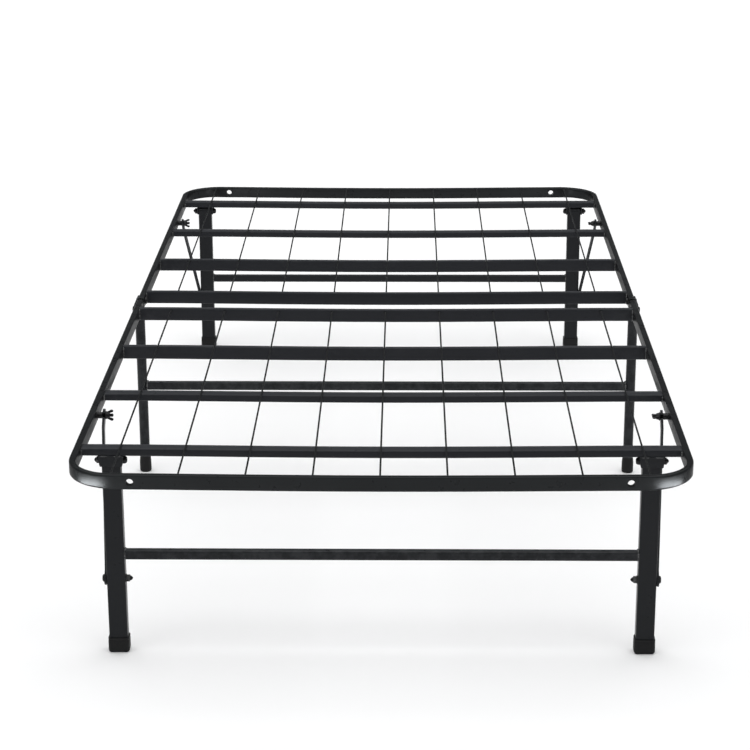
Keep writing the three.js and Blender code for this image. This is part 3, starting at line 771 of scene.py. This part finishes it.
FLOOR_HALF = 150
GLOW_FROM, GLOW_FULL = 2.2, 7
SKY_LOW, SKY_HIGH = 0.05, 0.12
LENS_MM, SENSOR_MM = 101.5176, 36
CAMERA_AT = (0.0386, -3.9382, 1.5027)
YAW, PITCH, ROLL = (math.radians(a) for a in (-0.8772, 18.2903, 0.1601))


def floor():
    bm = bmesh.new()
    for x, y in ((-1, -1), (1, -1), (1, 1), (-1, 1)):
        bm.verts.new((FLOOR_HALF * x, FLOOR_HALF * y, -0.0002))
    bm.faces.new(bm.verts)
    ob = raw_object("floor", bm)
    mat, nodes, links, shader = new_material("pale_floor")
    coords = nodes.new("ShaderNodeTexCoord")
    drift = noise(nodes, links, coords, 0.6, 2)
    colour = mixed(nodes, links, drift.outputs["Fac"], (0.93, 0.93, 0.93), (0.95, 0.95, 0.95))
    links.new(colour, shader.inputs["Base Color"])
    shader.inputs["Roughness"].default_value = 0.9
    shader.inputs["Specular IOR Level"].default_value = 0.1
    # The floor glows where the lights no longer reach, so that it stays pale as far as the horizon.
    away = nodes.new("ShaderNodeVectorMath")
    away.operation = "LENGTH"
    links.new(coords.outputs["Object"], away.inputs[0])
    glow = spread(nodes, links, away.outputs["Value"], 0, 1.0, GLOW_FROM, GLOW_FULL)
    shader.inputs["Emission Color"].default_value = (1, 1, 1, 1)
    links.new(glow, shader.inputs["Emission Strength"])
    ob.data.materials.append(mat)


def sky():
    """A sky that is bright along the horizon and dim overhead."""
    world = bpy.data.worlds.new("studio")
    world.use_nodes = True
    nodes, links = world.node_tree.nodes, world.node_tree.links
    backdrop = nodes["Background"]
    backdrop.inputs["Color"].default_value = (0.95, 0.97, 1, 1)
    toward = nodes.new("ShaderNodeTexCoord")
    height = nodes.new("ShaderNodeSeparateXYZ")
    links.new(toward.outputs["Generated"], height.inputs[0])
    strength = spread(nodes, links, height.outputs["Z"], 1.0, 0.16, SKY_LOW, SKY_HIGH)
    links.new(strength, backdrop.inputs["Strength"])
    bpy.context.scene.world = world


def area_light(name, where, aim, size, power, diffuse=True):
    data = bpy.data.lights.new(name, "AREA")
    data.shape = "RECTANGLE"
    data.size, data.size_y = size
    data.energy = power
    ob = bpy.data.objects.new(name, data)
    bpy.context.collection.objects.link(ob)
    ob.location = where
    ob.rotation_euler = (Vector(aim) - Vector(where)).to_track_quat("-Z", "Y").to_euler()
    ob.visible_camera = False
    ob.visible_diffuse = diffuse
    return ob


def lights():
    """One wide softbox overhead, and two low ones beside the front corners for the bent rims alone."""
    area_light("overhead", (0, 0.3, 4.2), (0, 0.3, 0), (9, 9), 450)
    receivers = bpy.data.collections.new("rims")
    for ob in rims:
        receivers.objects.link(ob)
    for side in (-1, 1):
        x, y = side * 0.98, -1.2
        glow = area_light(f"low_glow_{side}", (x, y, 0.02), (x, y, 1), (0.45, 0.7), 44, diffuse=False)
        glow.light_linking.receiver_collection = receivers


def camera():
    data = bpy.data.cameras.new("camera")
    data.sensor_width = SENSOR_MM
    data.lens = LENS_MM
    data.clip_end = 500
    ob = bpy.data.objects.new("camera", data)
    bpy.context.collection.objects.link(ob)
    ahead = Vector((math.sin(YAW) * math.cos(PITCH), math.cos(YAW) * math.cos(PITCH), -math.sin(PITCH)))
    level = Vector((math.cos(YAW), -math.sin(YAW), 0))
    down = ahead.cross(level)
    right = level * math.cos(ROLL) + down * math.sin(ROLL)
    up = level * math.sin(ROLL) - down * math.cos(ROLL)
    turn = Matrix((right, up, -ahead)).transposed().to_4x4()
    ob.matrix_world = Matrix.Translation(CAMERA_AT) @ turn
    bpy.context.scene.camera = ob


floor()
sky()
lights()
camera()
bpy.context.scene.view_settings.view_transform = "Standard"
